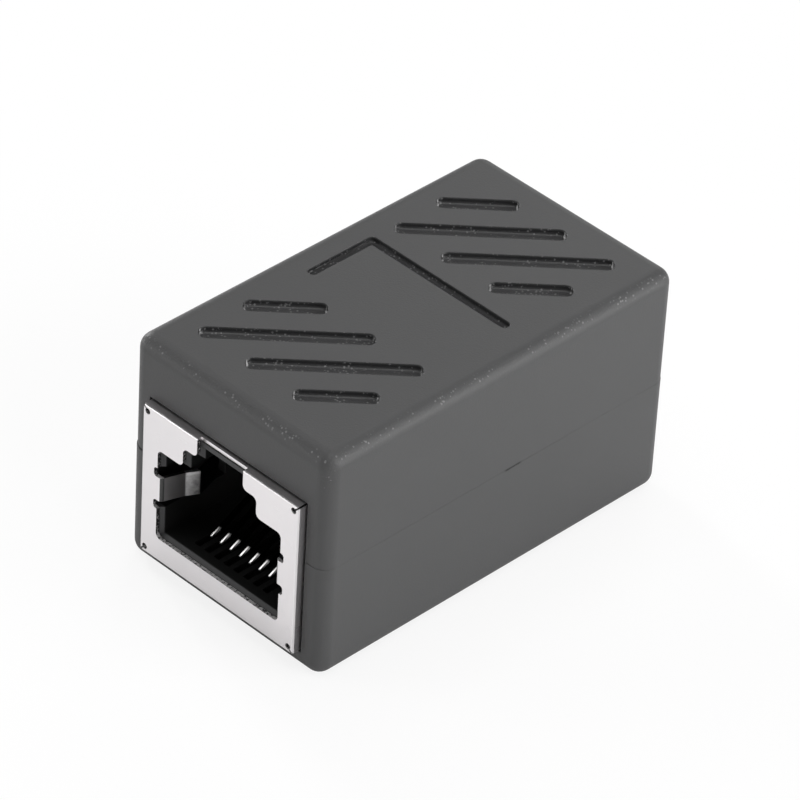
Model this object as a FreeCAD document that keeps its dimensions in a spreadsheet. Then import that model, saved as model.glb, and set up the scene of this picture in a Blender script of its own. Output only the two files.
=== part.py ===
"""In-line coupler for two eight-contact modular plugs, as a parametric FreeCAD document.

Frame: the plug axis is Y, the front port faces -Y, +Z is up, and the origin is the
middle of the underside.  All lengths are millimetres.  The rear jack is the front jack
turned half round about Z, so every jack piece is drawn once, at the front.
"""
import FreeCAD, Part
import math
import os
import re

import Sketcher

CONTACTS = 8                 # contacts in each jack, fixed by the plug
GROOVES = 4                  # slanting grip grooves in each block
HALF_DIAGONAL = 0.35355      # half of a width across a 45 degree line, taken along an axis

SIZES = {
    # housing
    "case_width": 20.2,
    "case_length": 35.1,
    "case_height": 19.8,
    "edge_radius": 1.22,
    "seam_height": 9.9,
    "seam_step": 0.05,
    "tongue_width": 0.7,
    "tongue_height": 0.8,
    "tongue_length": 28.0,
    "tongue_inset": 0.65,
    "case_gap": 0.1,
    "roof_skin": 1.9,
    "rib_thickness": 1.4,
    "spine_thickness": 4.4,
    "core_side": 0.9,
    "end_wall": 2.2,
    # grip grooves and corner line on the top
    "groove_width": 1.4,
    "groove_depth": 0.5,
    "groove_bevel": 0.2,
    "groove_end": 0.55,
    "groove_spacing": 4.87,
    "groove_reach": 7.17,
    "groove_block": 8.92,
    "block_distance": 19.5,
    "pattern_shift": 0.2,
    "pattern_side": -0.15,
    "line_width": 0.85,
    "line_depth": 0.45,
    "line_bevel": 0.15,
    "line_corner": 0.6,
    "line_reach": 7.0,
    "line_rise": 6.35,
    # stamped shield
    "shield_width": 16.1,
    "shield_height": 13.3,
    "shield_lift": 1.7,
    "shield_proud": 0.7,
    "shield_depth": 14.2,
    "sheet": 0.3,
    "bend_radius": 0.15,
    "leg_width": 2.0,
    "leg_lift": 7.0,
    "corner_inset": 0.5,
    "relief_hole": 0.5,
    "corner_slit": 0.14,
    # port
    "port_width": 12.8,
    "port_rise": 2.03,
    "mouth_height": 7.97,
    "step_width": 7.6,
    "step_height": 1.67,
    "latch_width": 4.74,
    "latch_height": 0.9,
    "latch_notch": 0.45,
    "port_round": 0.45,
    # grounding tabs
    "tab_width": 2.1,
    "tab_lift": 3.4,
    "tab_relief": 0.8,
    "tab_relief_reach": 0.35,
    "tab_relief_round": 0.25,
    "tab_root": 0.25,
    "tab_lean": 0.6,
    "tab_straight": 1.9,
    "tab_press": 0.55,
    "tab_crest": 1.0,
    "tab_return": 2.3,
    "tab_spread": 0.7,
    "tab_bend": 0.2,
    # moulded jack body
    "jack_gap": 0.05,
    "jack_length": 14.0,
    "lead_in": 0.25,
    "recess_depth": 0.55,
    "recess_length": 6.2,
    # contacts and their carrier
    "contact_pitch": 1.016,
    "wire": 0.32,
    "wire_slot": 0.56,
    "wire_lift": 0.5,
    "wire_front": 2.0,
    "wire_rise": 0.82,
    "wire_slope": 0.51,
    "wire_bend": 0.4,
    "wire_end_back": 1.0,
    "foot_length": 1.6,
    "plug_depth": 12.7,
    "comb_length": 3.0,
    "comb_height": 5.2,
    "slot_margin": 0.35,
    # circuit board
    "board_thickness": 1.6,
    "board_width": 17.6,
    "board_sink": 0.6,
    "board_gap": 0.1,
}

# Heights and places that several pieces share, as expressions of the sizes above.
FACE = "(-case_length / 2 - shield_proud)"
SHIELD_TOP = "(shield_lift + shield_height)"
FLOOR = "(shield_lift + port_rise)"
SHOULDER = f"({FLOOR} + mouth_height)"
STEP = f"({SHOULDER} + step_height)"
TUNNEL_HALF = "(shield_width / 2 + case_gap)"
TUNNEL_FLOOR = "(shield_lift - case_gap)"
TUNNEL_ROOF = f"({SHIELD_TOP} + case_gap)"
TAB_BOTTOM = f"({FLOOR} + tab_lift)"
TAB_TOP = f"({TAB_BOTTOM} + tab_width)"
JACK_FRONT = f"({FACE} + sheet + jack_gap)"
JACK_BACK = f"({JACK_FRONT} + jack_length)"
JACK_HALF = "(shield_width / 2 - sheet - jack_gap)"
JACK_BOTTOM = "(shield_lift + sheet + jack_gap)"
JACK_TOP = f"({SHIELD_TOP} - sheet - jack_gap)"
CAVITY_HALF = "(port_width / 2 - lead_in)"
CAVITY_FLOOR = f"({FLOOR} + lead_in)"
CAVITY_ROOF = f"({SHOULDER} - lead_in)"
BOARD_FACE = "(-board_thickness / 2)"
BOARD_BOTTOM = f"({TUNNEL_FLOOR} - board_sink)"
BOARD_TOP = f"({TUNNEL_ROOF} + board_sink)"
WIRE_LOW = f"({JACK_BOTTOM} + wire_lift)"
FIRST_CONTACT = f"(-contact_pitch * {(CONTACTS - 1) / 2})"

doc = FreeCAD.newDocument("inline_coupler")
sheet = doc.addObject("Spreadsheet::Sheet", "Sizes")
for row, (alias, value) in enumerate(SIZES.items(), start=1):
    sheet.set(f"A{row}", alias)
    sheet.set(f"B{row}", str(value))
    sheet.setAlias(f"B{row}", alias)
doc.recompute()


def number(formula):
    """Value of a formula of the named sizes."""
    return float(sheet.evalExpression(formula))


def bound(formula):
    """The same formula with every size written as a cell of the sheet."""
    return re.sub(r"[a-z_]+", lambda word: f"Sizes.{word[0]}" if word[0] in SIZES else word[0],
                  formula)


def bind(item, path, formula):
    """Tie one property of an object to a formula of the sizes."""
    item.setExpression(path, bound(formula))


def origin_feature(body, role):
    """Origin plane or axis of a body, found by its role."""
    return next(item for item in body.Origin.OriginFeatures if item.Role == role)


def new_body(label, turned=False, across="0"):
    """Body for one piece: turned half round about Z for the rear jack, moved along X."""
    body = doc.addObject("PartDesign::Body", label.title().replace("_", ""))
    body.Label = label
    half_turn = FreeCAD.Rotation(FreeCAD.Vector(0, 0, 1), 180 if turned else 0)
    body.Placement = FreeCAD.Placement(FreeCAD.Vector(0, 0, 0), half_turn)
    bind(body, "Placement.Base.x", across)
    return body


def new_sketch(body, name, role, offset="0"):
    """Sketch on one of the body's own origin planes, moved along the plane's normal."""
    sketch = body.newObject("Sketcher::SketchObject", name)
    sketch.AttachmentSupport = [(origin_feature(body, role), "")]
    sketch.MapMode = "FlatFace"
    bind(sketch, "AttachmentOffset.Base.z", offset)
    return sketch


class Drawing:
    """Geometry and constraints gathered for one sketch and added together."""

    def __init__(self, sketch):
        self.sketch = sketch
        self.constraints = []
        self.formulas = []

    def add(self, curve, construction=False):
        """Add a curve and return its index."""
        return self.sketch.addGeometry(curve, construction)

    def rule(self, *arguments):
        """Note a constraint that carries no size."""
        self.constraints.append(Sketcher.Constraint(*arguments))

    def measure(self, formula, *arguments):
        """Note a constraint whose size is a formula of the sheet."""
        self.formulas.append((len(self.constraints), formula))
        self.constraints.append(Sketcher.Constraint(*arguments, number(formula)))

    def pin(self, curve, point, place):
        """Fix one point of a curve at (across, up) from the sketch's origin."""
        self.measure(place[0], "DistanceX", -1, 1, curve, point)
        self.measure(place[1], "DistanceY", -1, 1, curve, point)

    def finish(self):
        """Hand the constraints to the sketch and bind their sizes."""
        first = self.sketch.ConstraintCount
        self.sketch.addConstraint(self.constraints)
        for index, formula in self.formulas:
            bind(self.sketch, f"Constraints[{first + index}]", formula)


def vector(place):
    """Point of the sketch plane from a pair of formulas."""
    return FreeCAD.Vector(number(place[0]), number(place[1]), 0)


def draw_chain(sketch, places, radii=None, closed=True):
    """Straight runs through the places, with an arc at each corner that has a radius.

    Each corner is a fixed construction point on both of its runs, so it stays where its
    formulas put it whatever the radius.
    """
    drawing = Drawing(sketch)
    corners = [vector(place) for place in places]
    count = len(places)
    radii = radii if isinstance(radii, list) else [radii] * count
    if not closed:
        radii = [None] + radii[1:-1] + [None]
    ways = [(corners[(i + 1) % count] - corners[i]).normalize() for i in range(count)]
    turns = [ways[i - 1].getAngle(ways[i]) for i in range(count)]
    trims = [number(radius) * math.tan(turn / 2) if radius else 0.0
             for radius, turn in zip(radii, turns)]
    runs = []
    for i in range(count if closed else count - 1):
        start = corners[i] + ways[i] * trims[i]
        end = corners[(i + 1) % count] - ways[i] * trims[(i + 1) % count]
        runs.append(drawing.add(Part.LineSegment(start, end)))
    if not closed:
        drawing.pin(runs[0], 1, places[0])
        drawing.pin(runs[-1], 2, places[-1])
    for i in range(0 if closed else 1, count if closed else count - 1):
        before, after = runs[i - 1], runs[i]
        if not radii[i]:
            drawing.rule("Coincident", before, 2, after, 1)
            drawing.pin(before, 2, places[i])
            continue
        corner = drawing.add(Part.Point(corners[i]), True)
        drawing.pin(corner, 1, places[i])
        drawing.rule("PointOnObject", corner, 1, before)
        drawing.rule("PointOnObject", corner, 1, after)
        draw_corner(drawing, corners[i], ways[i - 1], ways[i], trims[i], radii[i], before, after)
    drawing.finish()


def draw_corner(drawing, corner, way_in, way_out, trim, radius, before, after):
    """Arc tangent to the run before a corner and the run after it."""
    left_turn = way_in.cross(way_out).z > 0
    side = FreeCAD.Vector(-way_in.y, way_in.x, 0) * (1 if left_turn else -1)
    centre = corner - way_in * trim + side * number(radius)
    first, last = corner - way_in * trim, corner + way_out * trim
    if not left_turn:
        first, last = last, first
    angles = [math.atan2(point.y - centre.y, point.x - centre.x) for point in (first, last)]
    circle = Part.Circle(centre, FreeCAD.Vector(0, 0, 1), number(radius))
    arc = drawing.add(Part.ArcOfCircle(circle, angles[0], angles[1]))
    drawing.rule("Tangent", before, 2, arc, 1 if left_turn else 2)
    drawing.rule("Tangent", arc, 2 if left_turn else 1, after, 1)
    drawing.measure(radius, "Radius", arc)


def draw_box(sketch, left, right, low, high, radius=None):
    """Upright rectangle, with rounded corners if a radius is given."""
    draw_chain(sketch, [(left, low), (right, low), (right, high), (left, high)], radius)


def draw_disc(sketch, place, diameter):
    """Full circle of a given diameter."""
    drawing = Drawing(sketch)
    circle = Part.Circle(vector(place), FreeCAD.Vector(0, 0, 1), number(diameter) / 2)
    disc = drawing.add(circle)
    drawing.pin(disc, 3, place)
    drawing.measure(diameter, "Diameter", disc)
    drawing.finish()


def draw_diagonal(sketch, start, end, width, rounds=None):
    """Straight strip on a 45 degree line between the middles of its two ends."""
    aside = f"{width} * {HALF_DIAGONAL}"
    draw_chain(sketch, [(f"{start[0]} - {aside}", f"{start[1]} + {aside}"),
                        (f"{start[0]} + {aside}", f"{start[1]} - {aside}"),
                        (f"{end[0]} + {aside}", f"{end[1]} - {aside}"),
                        (f"{end[0]} - {aside}", f"{end[1]} + {aside}")], rounds)


def extrude(body, kind, name, sketch, length, reversed_way=False, symmetric=False):
    """Pad or pocket of a sketch by a bound length."""
    feature = body.newObject(f"PartDesign::{kind}", name)
    feature.Profile = sketch
    feature.Reversed = reversed_way
    if symmetric:
        feature.SideType = "Symmetric"
    bind(feature, "Length", length)
    doc.recompute()
    return feature


def pad(body, name, sketch, length, **options):
    """Pad that has to add material."""
    return extrude(body, "Pad", name, sketch, length, **options)


def pocket(body, name, sketch, length, **options):
    """Pocket that has to take material away."""
    before = body.Shape.Volume
    feature = extrude(body, "Pocket", name, sketch, length, **options)
    if body.Shape.Volume >= before:
        raise RuntimeError(f"{body.Label}: {name} cuts nothing")
    return feature


def edges_where(shape, test):
    """Names of the edges whose bounding box passes a test."""
    return [f"Edge{i}" for i, edge in enumerate(shape.Edges, start=1) if test(edge.BoundBox)]


def dress(body, kind, name, test, path, formula):
    """Fillet or chamfer on the edges of the body that pass a test."""
    base = body.Tip
    feature = body.newObject(f"PartDesign::{kind}", name)
    feature.Base = (base, edges_where(base.Shape, test))
    bind(feature, path, formula)
    doc.recompute()
    return feature


def level(low, high, place):
    """True where both ends of an extent are at one place."""
    return abs(low - place) < 1e-4 and abs(high - place) < 1e-4


def pipe(body, name, profile, spine):
    """Sweep of a closed profile along an open sketch."""
    feature = body.newObject("PartDesign::AdditivePipe", name)
    feature.Profile = profile
    feature.Spine = spine
    feature.Transition = "Right corner"
    doc.recompute()
    return feature


def row_pattern(body, name, original):
    """One copy of a feature for each contact, along X."""
    pattern = body.newObject("PartDesign::LinearPattern", name)
    pattern.Originals = [original]
    pattern.Direction = (origin_feature(body, "X_Axis"), [""])
    pattern.Occurrences = CONTACTS
    bind(pattern, "Length", f"contact_pitch * {CONTACTS - 1}")
    body.Tip = pattern
    doc.recompute()
    return pattern


def draw_walls(sketch, inner, width, half_length):
    """Two strips along Y, one in each side wall."""
    draw_box(sketch, inner, f"{inner} + {width}", f"-{half_length}", half_length)
    draw_box(sketch, f"-({inner} + {width})", f"-{inner}", f"-{half_length}", half_length)


def start_shell(label, base, height, inset):
    """Solid half of the housing, rounded on every outer edge except those at the seam."""
    body = new_body(label)
    outline = new_sketch(body, "Outline", "XY_Plane", base)
    half_width = f"(case_width / 2 - {inset})"
    half_length = f"(case_length / 2 - {inset})"
    draw_box(outline, f"-{half_width}", half_width, f"-{half_length}", half_length)
    pad(body, "Block", outline, height)
    seam = number("seam_height")
    dress(body, "Fillet", "OuterEdges", lambda box: not level(box.ZMin, box.ZMax, seam),
          "Radius", "edge_radius")
    return body


def cut_interior(body):
    """Tunnel for the two jacks and the slot that grips the circuit board."""
    tunnel = new_sketch(body, "TunnelSection", "XZ_Plane")
    draw_box(tunnel, f"-{TUNNEL_HALF}", TUNNEL_HALF, TUNNEL_FLOOR, TUNNEL_ROOF)
    pocket(body, "Tunnel", tunnel, "case_length + 2", symmetric=True)
    slot = new_sketch(body, "BoardSlotSection", "XZ_Plane")
    draw_box(slot, "-(board_width / 2 + board_gap)", "board_width / 2 + board_gap",
             f"{BOARD_BOTTOM} - board_gap", f"{BOARD_TOP} + board_gap")
    pocket(body, "BoardSlot", slot, "board_thickness + 2 * board_gap", symmetric=True)


def upper_shell():
    """Upper half: grooved top, tongues along the seam, cored roof."""
    body = start_shell("upper_shell", "seam_height", "case_height - seam_height", "seam_step")
    tongues = new_sketch(body, "TongueSection", "XY_Plane", "seam_height")
    draw_walls(tongues, f"({TUNNEL_HALF} + tongue_inset)", "tongue_width",
               "(tongue_length / 2)")
    pad(body, "Tongues", tongues, "tongue_height", reversed_way=True)
    cut_interior(body)
    core_roof(body)
    cut_grooves(body)
    cut_corner_line(body)
    return body


def core_roof(body):
    """Recesses that keep the roof to an even thickness, with ribs left between them."""
    cores = new_sketch(body, "RoofCores", "XY_Plane", TUNNEL_ROOF)
    half_width = f"({TUNNEL_HALF} - core_side)"
    inner = "(spine_thickness / 2)"
    outer = "(case_length / 2 - end_wall)"
    middle = f"(({inner} + {outer}) / 2)"
    for sign in ("", "-"):
        for near, far in ((inner, f"({middle} - rib_thickness / 2)"),
                          (f"({middle} + rib_thickness / 2)", outer)):
            draw_box(cores, f"-{half_width}", half_width, f"{sign}{near}", f"{sign}{far}")
    pocket(body, "CoredRoof", cores, f"case_height - roof_skin - {TUNNEL_ROOF}",
           reversed_way=True)


def cut_grooves(body):
    """Two blocks of slanting grooves that narrow towards their floors."""
    sketch = new_sketch(body, "GrooveOutlines", "XY_Plane", "case_height")
    for side in (-1, 1):
        centre = f"(pattern_shift + {side} * block_distance / 2)"
        for groove in range(GROOVES):
            line = f"({groove - (GROOVES - 1) / 2} * groove_spacing)"
            first = f"max(-groove_reach; {line} - groove_block / 2)"
            last = f"min(groove_reach; {line} + groove_block / 2)"
            ends = [(f"{reach} + pattern_side", f"{centre} + {reach} - {line}")
                    for reach in (first, last)]
            draw_diagonal(sketch, *ends, "groove_width", "groove_end")
    pocket(body, "Grooves", sketch, "groove_depth")
    floor = number("case_height - groove_depth")
    dress(body, "Chamfer", "GrooveFloors", lambda box: level(box.ZMin, box.ZMax, floor),
          "Size", "min(groove_bevel; groove_depth * 0.9; groove_width * 0.4)")


def cut_corner_line(body):
    """Narrow line that turns one corner between the two blocks of grooves."""
    sketch = new_sketch(body, "CornerLineOutline", "XY_Plane", "case_height")
    half = "(line_width / 2)"
    top = "(line_rise / 2)"
    foot = "(-line_rise / 2)"
    end_round = "line_width * 0.42"
    draw_chain(sketch,
               [(f"-line_reach - {half}", foot), (f"-line_reach + {half}", foot),
                (f"-line_reach + {half}", f"{top} - {half}"), ("line_reach", f"{top} - {half}"),
                ("line_reach", f"{top} + {half}"), (f"-line_reach - {half}", f"{top} + {half}")],
               [end_round, end_round, None, end_round, end_round, "line_corner"])
    pocket(body, "CornerLine", sketch, "line_depth")
    floor = number("case_height - line_depth")
    extent = number(f"{top} + line_width")
    dress(body, "Chamfer", "CornerLineFloor",
          lambda box: level(box.ZMin, box.ZMax, floor) and max(-box.YMin, box.YMax) < extent,
          "Size", "min(line_bevel; line_depth * 0.9; line_width * 0.3)")


def lower_shell():
    """Lower half: flat base, grooves along the seam for the tongues."""
    body = start_shell("lower_shell", "0", "seam_height", "0")
    cut_interior(body)
    grooves = new_sketch(body, "TongueGrooveSection", "XY_Plane", "seam_height")
    draw_walls(grooves, f"({TUNNEL_HALF} + tongue_inset - case_gap)",
               "(tongue_width + 2 * case_gap)", "(tongue_length / 2 + case_gap)")
    pocket(body, "TongueGrooves", grooves, "tongue_height + case_gap")
    return body


def port_profile(half_width, floor, shoulder, step_half, step, latch_half, latch):
    """Stepped outline of the port: plug mouth, step, and latch channel on top."""
    right = [(half_width, floor), (half_width, shoulder), (step_half, shoulder),
             (step_half, step), (latch_half, step), (latch_half, latch)]
    left = [(f"-{across}", up) for across, up in reversed(right)]
    return right + left


def shield(label, turned):
    """Stamped and folded shield: stepped face, four walls, two grounding tabs."""
    body = new_body(label, turned)
    face = new_sketch(body, "FaceOutline", "XZ_Plane", f"-{FACE}")
    draw_box(face, "-shield_width / 2", "shield_width / 2", "shield_lift", SHIELD_TOP)
    pad(body, "Block", face, "shield_depth", reversed_way=True)
    front = number(FACE)
    dress(body, "Fillet", "Folds", lambda box: level(box.YMin, box.YMax, front), "Radius",
          "bend_radius")
    hollow = new_sketch(body, "HollowOutline", "XZ_Plane", f"-({FACE} + sheet)")
    draw_box(hollow, "-(shield_width / 2 - sheet)", "shield_width / 2 - sheet",
             "shield_lift + sheet", f"{SHIELD_TOP} - sheet")
    pocket(body, "Hollow", hollow, "shield_depth")
    port = new_sketch(body, "PortOutline", "XZ_Plane", f"-{FACE}")
    rounds = ["port_round"] * 5 + [None, None] + ["port_round"] * 5
    draw_chain(port, port_profile("(port_width / 2)", FLOOR, SHOULDER, "(step_width / 2)", STEP,
                                  "(latch_width / 2)", f"{SHIELD_TOP} + sheet"), rounds)
    pocket(body, "Port", port, "latch_notch")
    split_corners(body)
    add_legs(body)
    add_tabs(body)
    return body


def split_corners(body):
    """Relief hole at each corner of the face, and the slit where two walls meet."""
    holes = new_sketch(body, "ReliefHoles", "XZ_Plane", f"-{FACE}")
    slits = new_sketch(body, "CornerSlits", "XZ_Plane", f"-{FACE}")
    across = "(shield_width / 2 - corner_inset)"
    low = "(shield_lift + corner_inset)"
    high = f"({SHIELD_TOP} - corner_inset)"
    skew = f"corner_slit * {HALF_DIAGONAL}"
    for side in ("", "-"):
        for up, way in ((high, "+"), (low, "-")):
            back = "-" if way == "+" else "+"
            reach = "2 * corner_inset"
            draw_disc(holes, (f"{side}{across}", up), "relief_hole")
            draw_chain(slits, [
                (f"{side}({across} - {skew})", f"{up} {way} {skew}"),
                (f"{side}({across} + {skew})", f"{up} {back} {skew}"),
                (f"{side}({across} + {reach} + {skew})", f"{up} {way} {reach} {back} {skew}"),
                (f"{side}({across} + {reach} - {skew})", f"{up} {way} {reach} {way} {skew}")])
    pocket(body, "CornerReliefs", holes, "sheet + bend_radius / 2")
    pocket(body, "SplitCorners", slits, "shield_depth + sheet")


def add_legs(body):
    """Solder leg on each side wall, reaching the circuit board."""
    legs = new_sketch(body, "LegSections", "XZ_Plane", f"-({FACE} + shield_depth)")
    low = "(shield_lift + leg_lift)"
    for side in ("", "-"):
        draw_box(legs, f"{side}(shield_width / 2 - sheet)", f"{side}(shield_width / 2)", low,
                 f"{low} + leg_width")
    pad(body, "Legs", legs, f"{BOARD_FACE} - {FACE} - shield_depth", reversed_way=True)


def add_tabs(body):
    """Grounding tab folded in from each side of the port, with a relief above and below."""
    reliefs = new_sketch(body, "TabReliefs", "XZ_Plane", f"-{FACE}")
    inner = "(port_width / 2 - port_round)"
    outer = "(port_width / 2 + tab_relief_reach)"
    for low, high in ((TAB_TOP, f"{TAB_TOP} + tab_relief"),
                      (f"{TAB_BOTTOM} - tab_relief", TAB_BOTTOM)):
        draw_box(reliefs, inner, outer, low, high,
                 [None, "tab_relief_round", "tab_relief_round", None])
    cut = pocket(body, "TabReliefCut", reliefs, "sheet")
    middle = f"({FACE} + sheet / 2)"
    fold = "(port_width / 2 - tab_root)"
    crest = f"({fold} - tab_lean - tab_press)"
    straight_end = f"({FACE} + tab_straight)"
    crest_at = f"({straight_end} + tab_crest)"
    spine = new_sketch(body, "TabLine", "XY_Plane", f"{TAB_BOTTOM} + tab_width / 2")
    draw_chain(spine, [(outer, middle), (fold, middle), (f"{fold} - tab_lean", straight_end),
                       (crest, crest_at), (f"{crest} + tab_spread", f"{crest_at} + tab_return")],
               "tab_bend", closed=False)
    section = new_sketch(body, "TabSection", "YZ_Plane", outer)
    draw_box(section, FACE, f"{FACE} + sheet", TAB_BOTTOM, TAB_TOP)
    tab = pipe(body, "Tab", section, spine)
    mirrored = body.newObject("PartDesign::Mirrored", "OtherTab")
    mirrored.Originals = [cut, tab]
    mirrored.MirrorPlane = (origin_feature(body, "YZ_Plane"), [""])
    body.Tip = mirrored
    doc.recompute()


def jack_body(label, turned):
    """Moulded sleeve inside the shield: stepped cavity, lead-in, tab recesses, wire slots."""
    body = new_body(label, turned)
    outline = new_sketch(body, "Outline", "XZ_Plane", f"-{JACK_FRONT}")
    draw_box(outline, f"-{JACK_HALF}", JACK_HALF, JACK_BOTTOM, JACK_TOP)
    pad(body, "Sleeve", outline, "jack_length", reversed_way=True)
    cavity = new_sketch(body, "CavityOutline", "XZ_Plane", f"-{JACK_FRONT}")
    ceiling = f"{STEP} - lead_in + latch_height"
    draw_chain(cavity, port_profile(CAVITY_HALF, CAVITY_FLOOR, CAVITY_ROOF,
                                    "(step_width / 2 - lead_in)", f"({STEP} - lead_in)",
                                    "(latch_width / 2 - lead_in)", ceiling))
    pocket(body, "Cavity", cavity, "jack_length + 1")
    front = number(JACK_FRONT)
    inside = number(f"{JACK_HALF} - lead_in")
    dress(body, "Chamfer", "LeadIn",
          lambda box: level(box.YMin, box.YMax, front) and max(-box.XMin, box.XMax) < inside,
          "Size", "lead_in")
    recesses = new_sketch(body, "TabRecesses", "XZ_Plane", f"-{JACK_FRONT}")
    for side in ("", "-"):
        draw_box(recesses, f"{side}(port_width / 2 - 2 * lead_in)",
                 f"{side}(port_width / 2 + recess_depth)", f"{TAB_BOTTOM} - tab_relief",
                 f"{TAB_TOP} + tab_relief")
    pocket(body, "TabRecessCut", recesses, "recess_length")
    slots = new_sketch(body, "WireSlotSection", "YZ_Plane", FIRST_CONTACT)
    draw_box(slots, f"{FACE} + wire_front - wire_slot", f"{JACK_BACK} + 1",
             f"{WIRE_LOW} - wire_slot / 2", f"{CAVITY_FLOOR} + 1")
    cut = pocket(body, "WireSlot", slots, "wire_slot", symmetric=True)
    row_pattern(body, "WireSlots", cut)
    return body


def contact_block(label, turned):
    """Carrier behind the cavity: comb for the free ends, slots for the feet."""
    body = new_body(label, turned)
    profile = new_sketch(body, "SideOutline", "YZ_Plane")
    plug_end = f"({FACE} + plug_depth)"
    comb_front = f"({plug_end} - comb_length)"
    flange_front = f"({JACK_BACK} + jack_gap)"
    flange_back = f"({BOARD_FACE} - jack_gap)"
    low = f"({CAVITY_FLOOR} + jack_gap)"
    comb_top = f"({low} + comb_height)"
    top = f"({CAVITY_ROOF} - jack_gap)"
    draw_chain(profile, [(comb_front, low), (comb_front, comb_top), (plug_end, comb_top),
                         (plug_end, top), (flange_front, top), (flange_front, JACK_TOP),
                         (flange_back, JACK_TOP), (flange_back, JACK_BOTTOM),
                         (flange_front, JACK_BOTTOM), (flange_front, low)])
    pad(body, "Block", profile, f"2 * ({CAVITY_HALF} - jack_gap)", symmetric=True)
    slots = new_sketch(body, "SlotSection", "YZ_Plane", FIRST_CONTACT)
    draw_box(slots, f"{comb_front} - 1", plug_end, f"{low} - 1", f"{comb_top} + 1")
    draw_box(slots, flange_front, f"{flange_back} + 1", f"{JACK_BOTTOM} - 1",
             f"{WIRE_LOW} + foot_length + slot_margin")
    cut = pocket(body, "Slot", slots, "wire_slot", symmetric=True)
    row_pattern(body, "Slots", cut)
    return body


def contact(label, turned, index):
    """Formed spring: foot on the board, run under the floor, hairpin, sloping spring."""
    sign = -1 if turned else 1
    body = new_body(label, turned, f"{sign * (index - (CONTACTS - 1) / 2)} * contact_pitch")
    foot = f"({BOARD_FACE} - wire / 2)"
    foot_top = f"({WIRE_LOW} + foot_length)"
    front = f"({FACE} + wire_front)"
    knee = f"({WIRE_LOW} + wire_rise)"
    spring_end = f"({FACE} + plug_depth - wire_end_back)"
    places = [(foot, foot_top), (foot, WIRE_LOW), (front, WIRE_LOW), (front, knee),
              (spring_end, f"{knee} + ({spring_end} - {front}) * wire_slope")]
    spine = new_sketch(body, "WireLine", "YZ_Plane")
    draw_chain(spine, places, [None, None, "wire_bend", "wire_bend", None], closed=False)
    section = new_sketch(body, "WireSection", "XY_Plane", foot_top)
    draw_box(section, "-wire / 2", "wire / 2", f"{foot} - wire / 2", f"{foot} + wire / 2")
    pipe(body, "Wire", section, spine)
    return body


def circuit_board():
    """Upright board between the jacks, gripped by the slot in the case."""
    body = new_body("circuit_board")
    outline = new_sketch(body, "Outline", "XZ_Plane")
    draw_box(outline, "-board_width / 2", "board_width / 2", BOARD_BOTTOM, BOARD_TOP)
    pad(body, "Board", outline, "board_thickness", symmetric=True)
    return body


def build_pieces():
    """Every piece of the coupler, as a list of bodies."""
    bodies = [upper_shell(), lower_shell(), circuit_board()]
    for side, turned in (("front", False), ("rear", True)):
        bodies.append(shield(f"{side}_shield", turned))
        bodies.append(jack_body(f"{side}_jack_body", turned))
        bodies.append(contact_block(f"{side}_contact_block", turned))
        for index in range(CONTACTS):
            bodies.append(contact(f"{side}_contact_{index + 1}", turned, index))
    return bodies


def check_document(bodies):
    """Stop if any object failed, or if a piece is not one sound solid."""
    doc.recompute()
    for item in doc.Objects:
        if "Invalid" in item.State or "Error" in item.State:
            raise RuntimeError(f"{item.Label} failed: {item.State}")
    for body in bodies:
        shape = body.Shape
        if shape.isNull() or not shape.isValid() or len(shape.Solids) != 1:
            raise RuntimeError(f"{body.Label} is not one valid solid")


pieces = build_pieces()
check_document(pieces)
os.makedirs("parts", exist_ok=True)
for piece in pieces:
    piece.Shape.exportStep(f"parts/{piece.Label}.step")
    print(f"{piece.Label}: {piece.Shape.Volume:.3f} mm3")
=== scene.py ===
"""Dresses the shielded in-line coupler: case halves, shields, jack bodies, contacts, board.

Everything is in metres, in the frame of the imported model: the plug axis is Y, the front
port faces -Y, +Z is up and the coupler stands on z = 0.
"""
import logging
import math
from dataclasses import dataclass, field
from enum import Enum
from functools import partial
from typing import Callable

import bmesh
import bpy
from mathutils import Matrix, Vector


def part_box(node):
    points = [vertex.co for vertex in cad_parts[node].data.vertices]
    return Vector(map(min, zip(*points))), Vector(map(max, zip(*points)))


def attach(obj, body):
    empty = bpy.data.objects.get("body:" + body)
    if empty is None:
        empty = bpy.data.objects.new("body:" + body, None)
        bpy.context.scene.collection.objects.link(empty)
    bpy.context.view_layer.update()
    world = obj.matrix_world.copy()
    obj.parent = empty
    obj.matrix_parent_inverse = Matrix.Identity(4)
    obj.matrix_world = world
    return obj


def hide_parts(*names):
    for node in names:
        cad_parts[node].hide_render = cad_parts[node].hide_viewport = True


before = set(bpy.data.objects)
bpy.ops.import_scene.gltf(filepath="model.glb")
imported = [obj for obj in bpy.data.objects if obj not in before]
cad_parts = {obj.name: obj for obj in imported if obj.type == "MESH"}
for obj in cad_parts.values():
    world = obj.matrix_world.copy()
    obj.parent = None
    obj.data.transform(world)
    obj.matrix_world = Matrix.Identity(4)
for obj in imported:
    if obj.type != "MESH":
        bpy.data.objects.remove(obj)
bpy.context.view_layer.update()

LOG = logging.getLogger("coupler")
MM = 0.001                    # metres in a millimetre
BODY = "root"                 # the one body of an object with no joints
CONTACT_COUNT = 8             # contacts in each jack
QUARTER_STEPS = 8             # straight pieces in a quarter turn of an outline
FLOOR_STEPS = 5               # straight pieces in the rounded foot of a groove's wall
SAME_LEVEL = 1e-6             # metres within which two levels count as one
WHITE = (1.0, 1.0, 1.0, 1.0)


class Side(Enum):
    """The two ports, with the sign of the Y direction that each one faces."""

    FRONT = -1
    REAR = 1

    @property
    def label(self) -> str:
        """Word that starts the names of this side's nodes."""
        return self.name.lower()


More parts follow.
